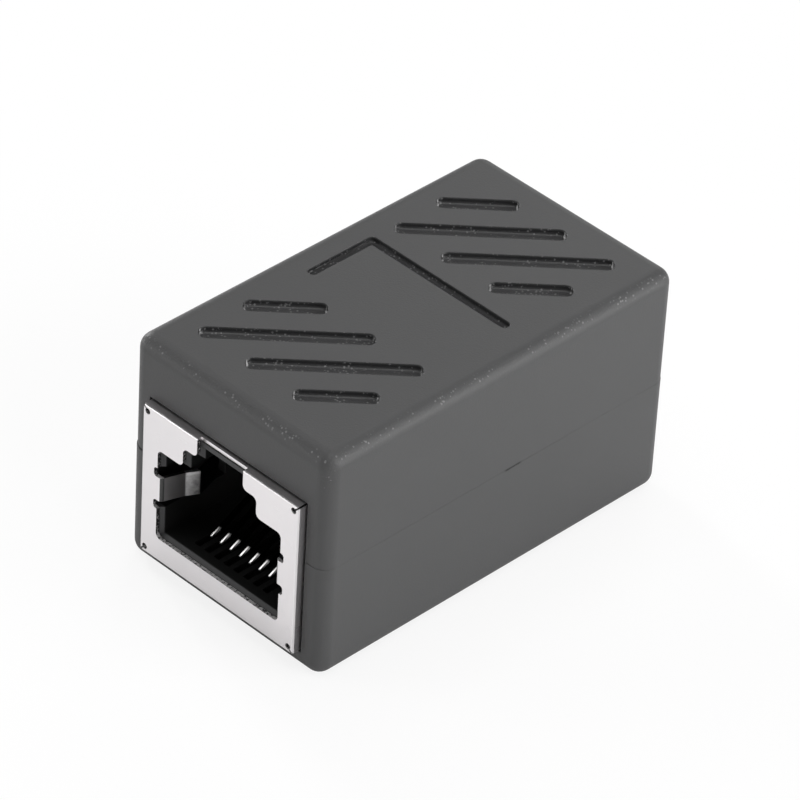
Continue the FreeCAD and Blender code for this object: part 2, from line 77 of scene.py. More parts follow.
@dataclass(frozen=True)
class Places:
    """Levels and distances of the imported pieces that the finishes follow, in millimetres.

    Distances along Y are from the middle of the coupler, so they hold for both ports.
    """

    half_width: float
    half_length: float
    top: float
    seam: float
    shield_half: float
    shield_bottom: float
    shield_top: float
    face: float
    jack_front: float
    spring_front: float
    pitch: float

    @classmethod
    def read(cls) -> "Places":
        """Take them from the boxes of the nodes.

        Returns:
            The places.
        """
        case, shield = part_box("lower_shell"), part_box("front_shield")
        first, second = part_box("front_contact_1"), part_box("front_contact_2")
        lengths = (case[1].x, case[1].y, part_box("upper_shell")[1].z, case[1].z,
                   shield[1].x, shield[0].z, shield[1].z, -shield[0].y,
                   -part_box("front_jack_body")[0].y, -first[0].y, abs(second[0].x - first[0].x))
        return cls(*(length / MM for length in lengths))


# ---------------------------------------------------------------- node graphs


class Graph:
    """Node tree under construction."""

    def __init__(self, tree: bpy.types.NodeTree) -> None:
        """Start from an empty tree."""
        self.tree = tree
        self.tree.nodes.clear()

    def add(self, kind: str, inputs: dict | None = None, **settings: object) -> bpy.types.Node:
        """Add a node, set its properties and fill or link its inputs.

        Args:
            kind: Class name of the node.
            inputs: Input name or index to a value, or to the socket that feeds it.
            **settings: Properties of the node.

        Returns:
            The new node.
        """
        node = self.tree.nodes.new(kind)
        for name, value in settings.items():
            setattr(node, name, value)
        for key, value in (inputs or {}).items():
            if isinstance(value, bpy.types.NodeSocket):
                self.tree.links.new(value, node.inputs[key])
            else:
                node.inputs[key].default_value = value
        return node

    def math(self, operation: str, *values: object, clamp: bool = False) -> bpy.types.NodeSocket:
        """Result of a Math node on up to three values or sockets."""
        node = self.add("ShaderNodeMath", dict(enumerate(values)), operation=operation,
                        use_clamp=clamp)
        return node.outputs[0]

    def scaled(self, value: object, factor: object, offset: object,
               clamp: bool = False) -> bpy.types.NodeSocket:
        """A value times a factor, plus an offset."""
        return self.math("MULTIPLY_ADD", value, factor, offset, clamp=clamp)

    def shared(self, group: bpy.types.NodeTree, **inputs: float) -> bpy.types.bpy_prop_collection:
        """Outputs of a shared node group placed with its own values."""
        return self.add("ShaderNodeGroup", inputs, node_tree=group).outputs

    def ramp(self, value: bpy.types.NodeSocket, low: object,
             high: object) -> bpy.types.NodeSocket:
        """Smooth step of a value from 0 at low to 1 at high, which may lie below low."""
        node = self.add("ShaderNodeMapRange", {"Value": value, "From Min": low, "From Max": high},
                        interpolation_type="SMOOTHSTEP")
        return node.outputs["Result"]

    def blend(self, factor: object, first: object, second: object) -> bpy.types.NodeSocket:
        """Colour mixed from first to second by a factor."""
        node = self.add("ShaderNodeMix", {0: factor, 6: first, 7: second}, data_type="RGBA")
        return node.outputs[2]

    def millimetres(self) -> bpy.types.NodeSocket:
        """Position on the object, in millimetres.

        Returns:
            The socket.
        """
        place = self.add("ShaderNodeTexCoord")
        scaled = self.add("ShaderNodeVectorMath", {0: place.outputs["Object"], "Scale": 1 / MM},
                          operation="SCALE")
        return scaled.outputs[0]

    def parts(self, vector: bpy.types.NodeSocket) -> tuple[bpy.types.NodeSocket, ...]:
        """The x, y and z of a vector."""
        return tuple(self.add("ShaderNodeSeparateXYZ", {0: vector}).outputs)

    def normal(self) -> bpy.types.NodeSocket:
        """Direction that the surface faces."""
        return self.add("ShaderNodeNewGeometry").outputs["Normal"]

    def size(self, value: bpy.types.NodeSocket) -> bpy.types.NodeSocket:
        """A value without its sign."""
        return self.math("ABSOLUTE", value)

    def all_of(self, first: object, *others: object) -> bpy.types.NodeSocket:
        """Mask of where every given mask holds: their product."""
        for mask in others:
            first = self.math("MULTIPLY", first, mask)
        return first

    def noise(self, place: object, per_mm: object, detail: float = 2.0,
              roughness: float = 0.5) -> bpy.types.NodeSocket:
        """Noise value between 0 and 1 at a number of cells per millimetre."""
        node = self.add("ShaderNodeTexNoise", {"Vector": place, "Scale": per_mm,
                                               "Detail": detail, "Roughness": roughness})
        return node.outputs[0]


def new_group(name: str, inputs: dict[str, float], outputs: tuple[str, ...]) -> tuple:
    """Empty shader node group with float inputs and outputs.

    Args:
        name: Name of the group.
        inputs: Input name to its default value.
        outputs: Names of the outputs.

    Returns:
        The group, its graph, its input node and its output node.
    """
    group = bpy.data.node_groups.new(name, "ShaderNodeTree")
    graph = Graph(group)
    for label, value in inputs.items():
        socket = group.interface.new_socket(name=label, in_out="INPUT",
                                            socket_type="NodeSocketFloat")
        socket.default_value = value
    for label in outputs:
        group.interface.new_socket(name=label, in_out="OUTPUT", socket_type="NodeSocketFloat")
    return group, graph, graph.add("NodeGroupInput"), graph.add("NodeGroupOutput")


def grain_group() -> bpy.types.NodeTree:
    """Fine moulded or rolled grain: a height, and a slow patchiness from -1 to 1.

    Returns:
        The group.
    """
    group, graph, given, result = new_group("surface_grain", {"Cells": 9.0, "Patch": 0.35},
                                            ("Height", "Patches"))
    place = graph.millimetres()
    fine = graph.noise(place, given.outputs["Cells"], 3.0, 0.6)
    pitted = graph.add("ShaderNodeTexVoronoi", {"Vector": place, "Scale": given.outputs["Cells"]})
    height = graph.scaled(pitted.outputs["Distance"], 0.35, fine)
    slow = graph.noise(place, given.outputs["Patch"], 3.0, 0.55)
    patches = graph.scaled(slow, 2.0, -1.0)
    graph.tree.links.new(height, result.inputs["Height"])
    graph.tree.links.new(patches, result.inputs["Patches"])
    return group


def fold_group() -> bpy.types.NodeTree:
    """Mask of rounded edges: where the surface faces between the three main directions.

    Returns:
        The group.
    """
    group, graph, given, result = new_group("rounded_edges", {"Start": 0.06, "Full": 0.22},
                                            ("Mask",))
    sizes = [graph.size(part) for part in graph.parts(graph.normal())]
    largest = graph.math("MAXIMUM", graph.math("MAXIMUM", sizes[0], sizes[1]), sizes[2])
    turned = graph.ramp(graph.math("SUBTRACT", 1.0, largest), given.outputs["Start"],
                        given.outputs["Full"])
    graph.tree.links.new(turned, result.inputs["Mask"])
    return group


def speck_group() -> bpy.types.NodeTree:
    """Mask of scattered specks, used for painted glints: small dots that come in drifts.

    Returns:
        The group.
    """
    group, graph, given, result = new_group("specks", {"Cells": 7.0, "Size": 0.16, "Share": 0.5},
                                            ("Mask",))
    place = graph.millimetres()
    dots = graph.add("ShaderNodeTexVoronoi", {"Vector": place, "Scale": given.outputs["Cells"],
                                              "Randomness": 1.0})
    near = graph.ramp(dots.outputs["Distance"], given.outputs["Size"],
                      graph.math("MULTIPLY", given.outputs["Size"], 0.45))
    chance = graph.add("ShaderNodeSeparateColor", {0: dots.outputs["Color"]})
    drift = graph.ramp(graph.noise(place, 0.7, 3.0, 0.65), 0.4, 0.65)
    picked = graph.math("LESS_THAN", chance.outputs[0],
                        graph.math("MULTIPLY", drift, given.outputs["Share"]))
    graph.tree.links.new(graph.math("MULTIPLY", near, picked), result.inputs["Mask"])
    return group


@dataclass(frozen=True)
class Effects:
    """Node groups that several finishes share."""

    grain: bpy.types.NodeTree
    folds: bpy.types.NodeTree
    specks: bpy.types.NodeTree

    @classmethod
    def build(cls) -> "Effects":
        """Make each group once."""
        return cls(grain_group(), fold_group(), speck_group())


# ------------------------------------------------------------------ finishes


@dataclass(frozen=True)
class Finish:
    """Base of the finishes: opens a material and closes it with a Principled shader."""

    places: Places
    name: str = "finish"

    def open(self) -> tuple[bpy.types.Material, Graph]:
        """Start the material.

        Returns:
            The new node material and its empty graph.
        """
        material = bpy.data.materials.new(self.name)
        material.use_nodes = True
        return material, Graph(material.node_tree)

    def close(self, graph: Graph, height: object, bump: float, shader: dict) -> None:
        """Add the bump, the Principled shader and the output.

        Args:
            graph: Graph of the material.
            height: Socket with the height of the surface.
            bump: Height in millimetres that a value of 1 stands for.
            shader: Inputs of the Principled shader.
        """
        relief = graph.add("ShaderNodeBump", {"Height": height, "Distance": bump * MM,
                                              "Strength": 1.0})
        body = graph.add("ShaderNodeBsdfPrincipled", {**shader, "Normal": relief.outputs[0]})
        graph.add("ShaderNodeOutputMaterial", {0: body.outputs[0]})


@dataclass(frozen=True)
class SeamGap:
    """Short stretch where the halves part: its middle, reach and height in millimetres."""

    x: float
    y: float
    reach: float
    rise: float


@dataclass(frozen=True)
class CasePlastic(Finish):
    """Charcoal moulded plastic with an eroded texture, painted glints on edges and in grooves,
    and painted shade in the grooves.
    """

    name: str = "case_plastic"
    colour: tuple = (0.066, 0.066, 0.067, 1.0)
    faded: tuple = (0.06138, 0.06138, 0.06231, 1.0)
    # Lighter colour of the rounded edges: partly wear, partly a painted sheen.
    wear_and_sheen: tuple = (0.09, 0.09, 0.091, 1.0)
    # Painted shade in the grooves, on walls and floors, and painted glints at the groove ends.
    groove_wall_shade: tuple = (0.024, 0.024, 0.025, 1.0)
    groove_floor_shade: tuple = (0.052, 0.052, 0.053, 1.0)
    groove_end_glint: tuple = (0.42, 0.42, 0.42, 1.0)
    # Colour of the painted glints on specks.
    glint_colour: tuple = (0.32, 0.32, 0.32, 1.0)
    gap_colour: tuple = (0.008, 0.008, 0.008, 1.0)
    roughness: float = 0.5
    sunk_roughness: float = 0.38
    specular: float = 0.38
    relief: float = 0.011
    coarse_relief: float = 2.0
    wear_and_sheen_share: float = 0.15
    glint_share: float = 0.4
    side_zone: float = 1.3
    end_zone: float = 1.35
    line_zone: float = 3.7
    # Painted shade that darkens the corner line's floors.
    line_floor_shade: float = 0.55
    texture_starts: float = 4.0
    texture_full: float = 2.0
    side_gap_y: float = 1.35
    end_gap_x: float = -9.0

    def groove_colour(self, graph: Graph) -> bpy.types.NodeSocket:
        """Colour in the grooves, all painted light and shade: dark walls, paler floors and
        painted glints at the feet of the end walls.

        Args:
            graph: Graph of the material.

        Returns:
            The colour.
        """
        facing = graph.parts(graph.normal())
        place = graph.millimetres()
        in_line = graph.math("LESS_THAN", graph.size(graph.parts(place)[1]), self.line_zone)
        # Painted shade: walls darker than floors, and floors in the corner line darker still.
        floors = graph.all_of(graph.ramp(facing[2], 0.6, 0.98),
                              graph.scaled(in_line, -self.line_floor_shade, 1.0))
        slant = graph.math("MULTIPLY", facing[0], facing[1])
        # Painted glints on the feet of the end walls, broken up by noise.
        ends = graph.all_of(graph.ramp(slant, 0.015, 0.06), graph.ramp(slant, 0.36, 0.22),
                            graph.ramp(graph.noise(place, 2.6, 3.0, 0.6), 0.36, 0.58))
        return graph.blend(ends, graph.blend(floors, self.groove_wall_shade, self.groove_floor_shade),
                           self.groove_end_glint)

    def sunk(self, graph: Graph) -> bpy.types.NodeSocket:
        """Mask of the grooves: just below the top face and inside its rounded edges.

        Args:
            graph: Graph of the material.

        Returns:
            The mask.
        """
        x, y, level = graph.parts(graph.millimetres())
        top = self.places.top
        return graph.all_of(
            graph.math("LESS_THAN", graph.size(x), self.places.half_width - self.side_zone),
            graph.math("LESS_THAN", graph.size(y), self.places.half_length - self.end_zone),
            graph.ramp(level, top - 0.02, top - 0.2))

    def parted(self, graph: Graph) -> bpy.types.NodeSocket:
        """Mask of two dark gaps in the seam: on the right side, and left of the front port.

        Args:
            graph: Graph of the material.

        Returns:
            The mask.
        """
        gaps = (SeamGap(self.places.half_width, self.side_gap_y, reach=0.95, rise=0.1),
                SeamGap(self.end_gap_x, -self.places.half_length, reach=0.3, rise=0.15))
        place = graph.millimetres()
        x, y, level = graph.parts(place)
        plan = graph.add("ShaderNodeCombineXYZ", {0: x, 1: y}).outputs[0]
        wave = graph.scaled(graph.noise(place, 1.5, 1.0), 0.16, -0.08 - self.places.seam)
        height = graph.size(graph.math("ADD", level, wave))
        total = 0.0
        for gap in gaps:
            away = graph.add("ShaderNodeVectorMath", {0: plan, 1: (gap.x, gap.y, 0.0)},
                             operation="DISTANCE").outputs["Value"]
            total = graph.math("MAXIMUM", total,
                               graph.all_of(graph.ramp(away, gap.reach, 0.65 * gap.reach),
                                            graph.ramp(height, gap.rise, 0.4 * gap.rise)))
        return graph.all_of(total, graph.ramp(graph.noise(place, 3.0, 1.0), 0.15, 0.5))

    def build(self, effects: Effects) -> bpy.types.Material:
        """Material of the two case halves.

        Args:
            effects: Shared node groups.

        Returns:
            The material.
        """
        material, graph = self.open()
        grain = graph.shared(effects.grain, Cells=7.0, Patch=0.22)
        folds = graph.shared(effects.folds, Start=0.03, Full=0.25)["Mask"]
        specks = graph.shared(effects.specks, Cells=4.4, Size=0.48, Share=0.62)["Mask"]
        grooves = self.sunk(graph)
        level = graph.parts(graph.millimetres())[2]
        upper = graph.ramp(level, self.places.top - self.texture_starts,
                           self.places.top - self.texture_full)
        coarse = graph.math("MAXIMUM", grooves, graph.all_of(folds, upper))
        tint = graph.scaled(grain["Patches"], 0.5, 0.5, clamp=True)
        # Rounded edges lighter: partly wear, partly a painted sheen.
        colour = graph.blend(graph.all_of(folds, self.wear_and_sheen_share),
                             graph.blend(tint, self.faded, self.colour), self.wear_and_sheen)
        # The grooves take their painted shade and painted end glints.
        colour = graph.blend(grooves, colour, self.groove_colour(graph))
        # Painted glints: bright specks on the upper rounded edges and in the grooves.
        colour = graph.blend(graph.all_of(specks, coarse, self.glint_share), colour,
                             self.glint_colour)
        colour = graph.blend(self.parted(graph), colour, self.gap_colour)
        rough = graph.scaled(grain["Height"], 0.08, self.roughness - 0.05)
        rough = graph.scaled(grooves, self.sunk_roughness - self.roughness, rough)
        height = graph.all_of(grain["Height"], graph.scaled(coarse, self.coarse_relief, 1.0))
        self.close(graph, height, self.relief, {"Base Color": colour, "Roughness": rough,
                                                "Specular IOR Level": self.specular})
        return material


@dataclass(frozen=True)
class NickelPlate(Finish):
    """Satin nickel on rolled sheet, bright on its folds and matt on its sheared edges, with
    painted light and shade on its grounding tabs and a painted highlight on up-facing burrs.
    """

    name: str = "nickel_plate"
    colour: tuple = (0.83, 0.805, 0.815, 1.0)
    fold_colour: tuple = (0.70, 0.69, 0.695, 1.0)
    cut_colour: tuple = (0.02, 0.02, 0.02, 1.0)
    # Colour of the burrs: partly real burrs, partly a painted highlight where the edge faces up.
    burr_and_top_sheen_colour: tuple = (0.60, 0.59, 0.59, 1.0)
    # Painted shade and painted highlight of the grounding tabs.
    tab_root_shade: tuple = (0.42, 0.41, 0.415, 1.0)
    tab_bend_shade: tuple = (0.07, 0.07, 0.07, 1.0)
    crest_shade: tuple = (0.24, 0.235, 0.235, 1.0)
    crest_highlight: tuple = (0.84, 0.83, 0.83, 1.0)
    tab_tip_shade: tuple = (0.02, 0.02, 0.02, 1.0)
    roughness: float = 0.30
    cut_roughness: float = 0.62
    crest_roughness: float = 0.45
    relief: float = 0.0012
    torn_relief: float = 12.0
    sheet: float = 0.3
    corner: float = 0.15
    tab_aside: float = 1.35
    tab_low: float = 5.3
    tab_high: float = 7.65
    # Width of the painted highlight along the top of the tab's crest.
    highlight_rim: float = 0.22
    root_depth: float = 0.03
    bend_depth: float = 0.28
    crest_depth: float = 1.9
    tip_depth: float = 2.85

    def cut_edges(self, graph: Graph) -> tuple[bpy.types.NodeSocket, bpy.types.NodeSocket]:
        """Sheared edges of the opening and the holes: behind the face, not facing along Y.

        Args:
            graph: Graph of the material.

        Returns:
            Mask of the edges, and how far each faces up.
        """
        x, y, level = graph.parts(graph.millimetres())
        facing = graph.parts(graph.normal())
        mask = graph.all_of(
            graph.math("GREATER_THAN", graph.size(y), self.places.face - self.sheet),
            graph.math("LESS_THAN", graph.size(facing[1]), 0.3),
            graph.math("LESS_THAN", graph.size(x), self.places.shield_half - self.corner),
            graph.math("LESS_THAN", level, self.places.shield_top - self.corner))
        return mask, graph.math("MAXIMUM", facing[2], 0.0)

    def tab_colour(self, graph: Graph,
                   plain: bpy.types.NodeSocket) -> tuple[bpy.types.NodeSocket, ...]:
        """Colour of the grounding tabs, all painted light and shade: a darkened root with darker
        shade at its bend, a crest with a painted highlight that fades with depth and brightens
        along its top, and a darkened tip.

        Args:
            graph: Graph of the material.
            plain: Socket with the colour of the rest of the shield.

        Returns:
            Socket with the colour, and mask of the crests.
        """
        place = graph.millimetres()
        x, y, level = graph.parts(place)
        reach = graph.size(y)
        low, high = (self.places.shield_bottom + rise for rise in (self.tab_low, self.tab_high))
        root_from, bend_to, crest_from, tip_from = (
            self.places.face - depth
            for depth in (self.root_depth, self.bend_depth, self.crest_depth, self.tip_depth))
        tab = graph.all_of(
            graph.math("LESS_THAN", graph.size(x), self.places.shield_half - self.tab_aside),
            graph.math("GREATER_THAN", level, low), graph.math("LESS_THAN", level, high))
        root, crest, tip = (graph.all_of(tab, graph.math("LESS_THAN", reach, limit))
                            for limit in (root_from, crest_from, tip_from))
        # Painted highlight on the crest: brighter higher up, nearer the face and along its top,
        # with noise.
        mottled = graph.scaled(graph.noise(place, 2.2, 2.0, 0.6), 0.9, -0.45)
        near = graph.ramp(reach, tip_from, crest_from)
        highlight_rim = graph.ramp(level, high - 2.0 * self.highlight_rim, high - self.highlight_rim)
        lit = graph.scaled(graph.ramp(level, low, high), 0.25, graph.scaled(near, 0.5, mottled))
        lit = graph.scaled(highlight_rim, 0.6, lit, clamp=True)
        bent = graph.ramp(reach, bend_to - 0.05, bend_to + 0.05)
        # Painted shade on the root and at its bend, painted highlight on the crest, painted shade
        # on the tip.
        colour = graph.blend(root, plain, graph.blend(bent, self.tab_root_shade, self.tab_bend_shade))
        colour = graph.blend(crest, colour, graph.blend(lit, self.crest_shade, self.crest_highlight))
        return graph.blend(tip, colour, self.tab_tip_shade), crest

    def build(self, effects: Effects) -> bpy.types.Material:
        """Material of the two shields.

        Args:
            effects: Shared node groups.

        Returns:
            The material.
        """
        material, graph = self.open()
        grain = graph.shared(effects.grain, Cells=5.0, Patch=0.6)
        folds = graph.shared(effects.folds, Start=0.04, Full=0.2)["Mask"]
        cut, upward = self.cut_edges(graph)
        place = graph.millimetres()
        stretched = graph.add("ShaderNodeVectorMath", {0: place, 1: (0.25, 0.25, 7.0)},
                              operation="MULTIPLY").outputs[0]
        rolled = graph.noise(stretched, 3.0, 3.0, 0.6)
        torn = graph.noise(place, 5.0, 3.0, 0.75)
        # Bright burrs on the sheared edges: partly real burrs from the noise, partly a painted
        # highlight, since they are commoner where the edge faces up.
        burr_and_top_sheen = graph.ramp(graph.scaled(upward, 0.12, torn), 0.5, 0.66)
        colour, crest = self.tab_colour(graph, graph.blend(folds, self.colour,
                                                           self.fold_colour))
        colour = graph.blend(cut, colour, graph.blend(burr_and_top_sheen, self.cut_colour, self.burr_and_top_sheen_colour))
        rough = graph.scaled(rolled, 0.10, self.roughness - 0.05)
        rough = graph.scaled(grain["Patches"], 0.04, rough)
        for mask, least in ((cut, self.cut_roughness), (crest, self.crest_roughness)):
            rough = graph.math("MAXIMUM", rough, graph.math("MULTIPLY", mask, least))
        height = graph.scaled(rolled, 0.6, grain["Height"])
        height = graph.scaled(graph.all_of(cut, torn), self.torn_relief, height)
        self.close(graph, height, self.relief,
                   {"Base Color": colour, "Roughness": rough,
                    "Metallic": graph.scaled(cut, -0.6, 1.0)})
        return material


@dataclass(frozen=True)
class BlackMoulding(Finish):
    """Black thermoplastic of the jack bodies and contact carriers, darkened past the mouth as
    painted shade.
    """

    name: str = "black_moulding"
    colour: tuple = (0.055, 0.055, 0.056, 1.0)
    wear_and_sheen: tuple = (0.070, 0.070, 0.071, 1.0)
    # Painted shade past the mouth, less dark further in.
    mouth_shade: tuple = (0.009, 0.009, 0.009, 1.0)
    far_mouth_shade: tuple = (0.040, 0.040, 0.040, 1.0)
    roughness: float = 0.48
    specular: float = 0.2
    relief: float = 0.004
    mouth_depth: float = 0.24
    mouth_fade: float = 0.16
    deep_from: float = 1.4
    deep_to: float = 8.9

    def build(self, effects: Effects) -> bpy.types.Material:
        """Material of the jack bodies and contact carriers.

        Args:
            effects: Shared node groups.

        Returns:
            The material.
        """
        material, graph = self.open()
        grain = graph.shared(effects.grain, Cells=11.0, Patch=0.5)
        folds = graph.shared(effects.folds)["Mask"]
        tint = graph.scaled(grain["Patches"], 0.25, 0.2, clamp=True)
        # Lighter tone on random patches and on rounded edges: tone and wear, with a painted sheen
        # on the edges.
        colour = graph.blend(graph.math("MAXIMUM", tint, folds), self.colour, self.wear_and_sheen)
        reach = graph.size(graph.parts(graph.millimetres())[1])
        front = self.places.jack_front
        mouth = front - self.mouth_depth
        # Painted shade past the mouth, less dark further in.
        inside = graph.ramp(reach, mouth, mouth - self.mouth_fade)
        far = graph.ramp(reach, front - self.deep_from, front - self.deep_to)
        colour = graph.blend(inside, colour, graph.blend(far, self.mouth_shade, self.far_mouth_shade))
        rough = graph.scaled(grain["Height"], 0.1, self.roughness - 0.05)
        self.close(graph, grain["Height"], self.relief,
                   {"Base Color": colour, "Roughness": rough,
                    "Specular IOR Level": self.specular})
        return material


@dataclass(frozen=True)
class SpringPlate(Finish):
    """Spring wire painted dark as painted shade, with a narrow painted highlight near each
    spring's front bend.
    """

    name: str = "spring_plate"
    # Colour of the painted highlight on the stripes.
    bright: tuple = (0.98, 0.97, 0.96, 1.0)
    # Painted shade colour of the rest of the wire.
    spring_shade: tuple = (0.004, 0.004, 0.004, 1.0)
    roughness: float = 0.36
    track_aside: float = 0.05
    half_track: float = 0.065
    track_least: float = 0.4
    flank_aside: float = 0.1
    half_flank: float = 0.09
    flank_share: float = 0.16
    track_start: float = 1.75
    track_end: float = 1.14
    fade: float = 0.17
    crown: float = 0.67

    def limits(self) -> tuple[float, float]:
        """Distances along Y between which the painted highlight lies, for either jack."""
        front = self.places.spring_front
        return front - self.track_start, front - self.track_end

    def stripe(self, graph: Graph, row: bpy.types.NodeSocket, aside: float,
               half: float) -> bpy.types.NodeSocket:
        """Mask of a lengthwise stripe on every spring.

        Args:
            graph: Graph of the material.
            row: Position across the row of springs, from 0 to 1 in each pitch.
            aside: Distance of the stripe's middle from the spring's.
            half: Half the stripe's width.

        Returns:
            The mask.
        """
        pitch = self.places.pitch
        away = graph.size(graph.math("SUBTRACT", row, 0.5 + aside / pitch))
        return graph.ramp(away, 1.3 * half / pitch, 0.7 * half / pitch)

    def highlight_share(self, graph: Graph) -> bpy.types.NodeSocket:
        """Share of painted highlight: a track on each spring near its front bend, and a dimmer
        flank beside it.

        Args:
            graph: Graph of the material.

        Returns:
            The share, from 0 to 1.
        """
        start, end = self.limits()
        x, y, _ = graph.parts(graph.millimetres())
        reach = graph.size(y)
        # The painted highlight fades in and out along the spring.
        highlight_strength = graph.ramp(reach, start - self.fade, end)
        row = graph.math("FRACT", graph.math("DIVIDE", x, self.places.pitch))
        track = graph.all_of(self.stripe(graph, row, -self.track_aside, self.half_track),
                             graph.scaled(highlight_strength, 1.0 - self.track_least, self.track_least))
        flank = graph.all_of(self.stripe(graph, row, self.flank_aside, self.half_flank),
                             graph.scaled(highlight_strength, -self.flank_share, self.flank_share))
        return graph.all_of(graph.ramp(reach, start - self.fade, start),
                            graph.ramp(reach, end + self.fade, end),
                            graph.math("MAXIMUM", track, flank))

    def build(self, effects: Effects) -> bpy.types.Material:
        """Material of the contacts, whose springs are crowned by shading alone.

        Args:
            effects: Shared node groups.

        Returns:
            The material.
        """
        material, graph = self.open()
        grain = graph.shared(effects.grain, Cells=14.0, Patch=1.6)
        patchy = graph.scaled(grain["Patches"], 0.2, 0.95, clamp=True)
        # Painted highlight on the stripes, painted shade on the rest of the wire.
        colour = graph.blend(graph.all_of(self.highlight_share(graph), patchy), self.spring_shade, self.bright)
        rough = graph.scaled(grain["Height"], 0.12, self.roughness - 0.05)
        start, end = self.limits()
        reach = graph.math("MAXIMUM", graph.size(graph.parts(graph.millimetres())[1]),
                           start - self.fade)
        crowned = graph.math("MULTIPLY", graph.math("MINIMUM", reach, end + self.fade),
                             -self.crown)
        height = graph.scaled(grain["Height"], 0.001, crowned)
        self.close(graph, height, 1.0, {"Base Color": colour, "Roughness": rough,
                                        "Metallic": 1.0})
        return material


@dataclass(frozen=True)
class SolderMask(Finish):
    """Green solder mask over a woven board, which shows faintly through it."""

    name: str = "solder_mask"
    colour: tuple = (0.012, 0.11, 0.045, 1.0)
    thin: tuple = (0.03, 0.17, 0.07, 1.0)
    show_through: float = 0.6
    roughness: float = 0.3
    relief: float = 0.004

    def build(self, effects: Effects) -> bpy.types.Material:
        """Material of the circuit board.

        Args:
            effects: Shared node groups.

        Returns:
            The material.
        """
        material, graph = self.open()
        weave = graph.add("ShaderNodeTexBrick", {"Vector": graph.millimetres(), "Scale": 1.2,
                                                 "Mortar Size": 0.06}).outputs["Fac"]
        grain = graph.shared(effects.grain, Cells=6.0, Patch=0.4)
        colour = graph.blend(graph.all_of(weave, self.show_through), self.colour, self.thin)
        height = graph.scaled(weave, -0.5, grain["Height"])
        self.close(graph, height, self.relief, {"Base Color": colour,
                                                "Roughness": self.roughness})
        return material


@dataclass(frozen=True)
class Finishes:
    """One material for each slot of the record."""

    case: bpy.types.Material
    shield: bpy.types.Material
    jack_plastic: bpy.types.Material
    contact: bpy.types.Material
    board: bpy.types.Material

    @classmethod
    def build(cls) -> "Finishes":
        """Make every material.

        Returns:
            The materials.
        """
        effects, places = Effects.build(), Places.read()
        kinds = (CasePlastic, NickelPlate, BlackMoulding, SpringPlate, SolderMask)
        return cls(*(kind(places).build(effects) for kind in kinds))


# ------------------------------------------------------------- mesh building


def new_object(name: str, data: bpy.types.ID) -> bpy.types.Object:
    """Object for a mesh, lamp or camera, linked to the scene.

    Args:
        name: Name of the object.
        data: Its mesh, lamp or camera.

    Returns:
        The object.
    """
    item = bpy.data.objects.new(name, data)
    bpy.context.scene.collection.objects.link(item)
    return item


def mesh_object(name: str, form: bmesh.types.BMesh) -> bpy.types.Object:
    """Object with the mesh of a form, which is freed.

    Args:
        name: Name of the object and of its mesh.
        form: The form.

    Returns:
        The object.
    """
    mesh = bpy.data.meshes.new(name)
    form.to_mesh(mesh)
    form.free()
    return new_object(name, mesh)


def block(low: Vector, high: Vector) -> bmesh.types.BMesh:
    """Plain box between two corners.

    Args:
        low: Lowest corner.
        high: Highest corner.

    Returns:
        The box.
    """
    form = bmesh.new()
    middle = (low + high) / 2
    size = Matrix.Diagonal((*(high - low), 1.0))
    bmesh.ops.create_cube(form, size=1.0, matrix=Matrix.Translation(middle) @ size)
    return form


def joined(forms: list[bmesh.types.BMesh]) -> bmesh.types.BMesh:
    """Several separate forms as one.

    Args:
        forms: The forms, which are freed.

    Returns:
        The one form.
    """
    whole = bmesh.new()
    for form in forms:
        mesh = bpy.data.meshes.new("joining")
        form.to_mesh(mesh)
        form.free()
        whole.from_mesh(mesh)
        bpy.data.meshes.remove(mesh)
    return whole


def arc(centre: Vector, radius: float, start: float, sweep: float) -> list[Vector]:
    """Points of a level arc, both ends included.

    Args:
        centre: Middle of the arc.
        radius: Radius of the arc.
        start: Angle at which it starts.
        sweep: Angle that it turns through, anticlockwise.

    Returns:
        The points.
    """
    steps = max(1, round(QUARTER_STEPS * sweep / (math.pi / 2)))
    angles = [start + sweep * i / steps for i in range(steps + 1)]
    return [centre + radius * Vector((math.cos(a), math.sin(a), 0)) for a in angles]


def slot_outline(start: Vector, end: Vector, half_width: float, corner: float,
                 inset: float) -> list[Vector]:
    """Outline of a straight slot with blunt, rounded ends.

    Args:
        start: Middle of one end.
        end: Middle of the other end.
        half_width: Half the slot's width.
        corner: Radius of its corners.
        inset: Distance by which the outline shrinks on every side.

    Returns:
        Points of the outline, anticlockwise.
    """
    way = (end - start).normalized()
    aside = Vector((-way.y, way.x, 0))
    heading = math.atan2(way.y, way.x)
    points = []
    for place, along, across in ((end, -1, -1), (end, -1, 1), (start, 1, 1), (start, 1, -1)):
        centre = place + way * along * corner + aside * across * (half_width - corner)
        quarter = {(-1, -1): -1, (-1, 1): 0, (1, 1): 1, (1, -1): 2}[(along, across)]
        points += arc(centre, corner - inset, heading + quarter * math.pi / 2, math.pi / 2)
    return points


def angle_outline(line: list[Vector], half_width: float, inset: float) -> list[Vector]:
    """Outline of a strip that turns one corner to the right, with round ends.

    Args:
        line: First end, corner and last end of the centre line.
        half_width: Half the strip's width.
        inset: Distance by which the outline shrinks on every side.

    Returns:
        Points of the outline, anticlockwise.
    """
    radius = half_width - inset
    ways = [(b - a).normalized() for a, b in zip(line, line[1:])]
    first, last = (math.atan2(way.y, way.x) for way in ways)
    inner = line[1] + (ways[1] - ways[0]) * radius
    outer = arc(line[1], radius, last + math.pi / 2, first - last)
    tip = arc(line[2], radius, last - math.pi / 2, math.pi)
    tail = arc(line[0], radius, first + math.pi / 2, math.pi)
    return [inner] + tip + outer + tail


